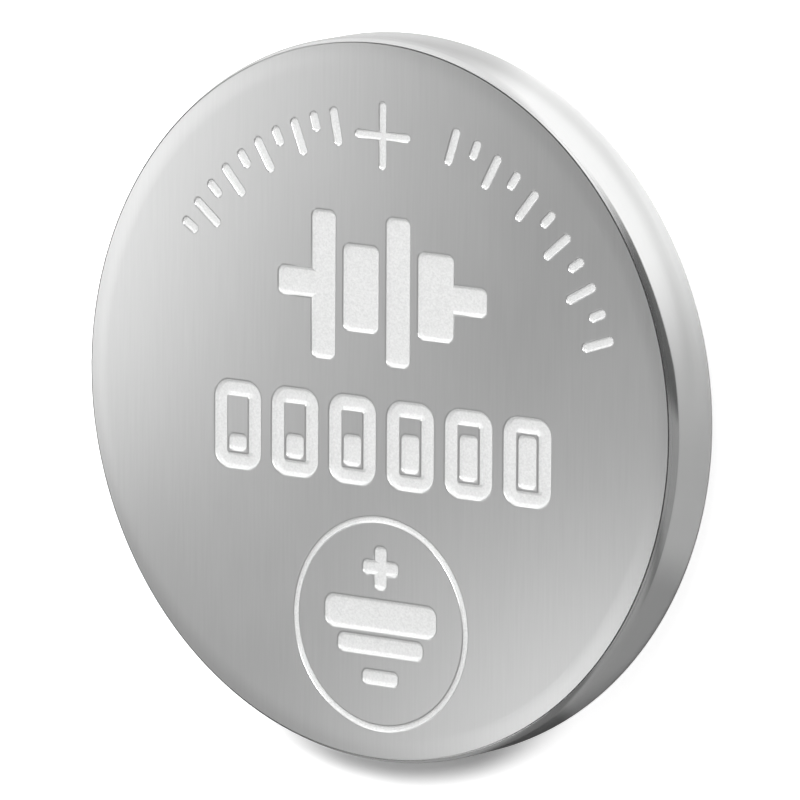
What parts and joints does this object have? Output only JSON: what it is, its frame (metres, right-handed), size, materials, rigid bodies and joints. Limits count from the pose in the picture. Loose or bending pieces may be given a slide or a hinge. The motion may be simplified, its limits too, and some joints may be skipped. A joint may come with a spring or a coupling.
{
  "type": "lithium coin cell",
  "caption": "Round button cell: a drawn steel cup, its rim rolled in over a plastic seal and a stepped steel cap, with cathode, separator and lithium disc stacked inside.",
  "frame": {"origin": "centre of the negative cap's outer face, which the cell lies on", "axes": "+Z along the cell's axis to the positive face, +Y to the polarity mark on that face"},
  "size_m": [0.02, 0.02, 0.0032],
  "materials": {
    "can_nickel": "satin nickel plate, finely brushed",
    "cap_nickel": "satin nickel plate",
    "gasket_polypropylene": "moulded",
    "cathode_oxide": "pressed powder",
    "ring_steel": "bright rolled",
    "separator_fleece": "non-woven",
    "lithium_foil": "dull rolled foil"
  },
  "bodies": {
    "root": {"positive_can": "can_nickel", "negative_cap": "cap_nickel", "gasket": "gasket_polypropylene", "cathode_pellet": "cathode_oxide", "cathode_ring": "ring_steel", "separator": "separator_fleece", "lithium_anode": "lithium_foil"}
  },
  "joints": []
}
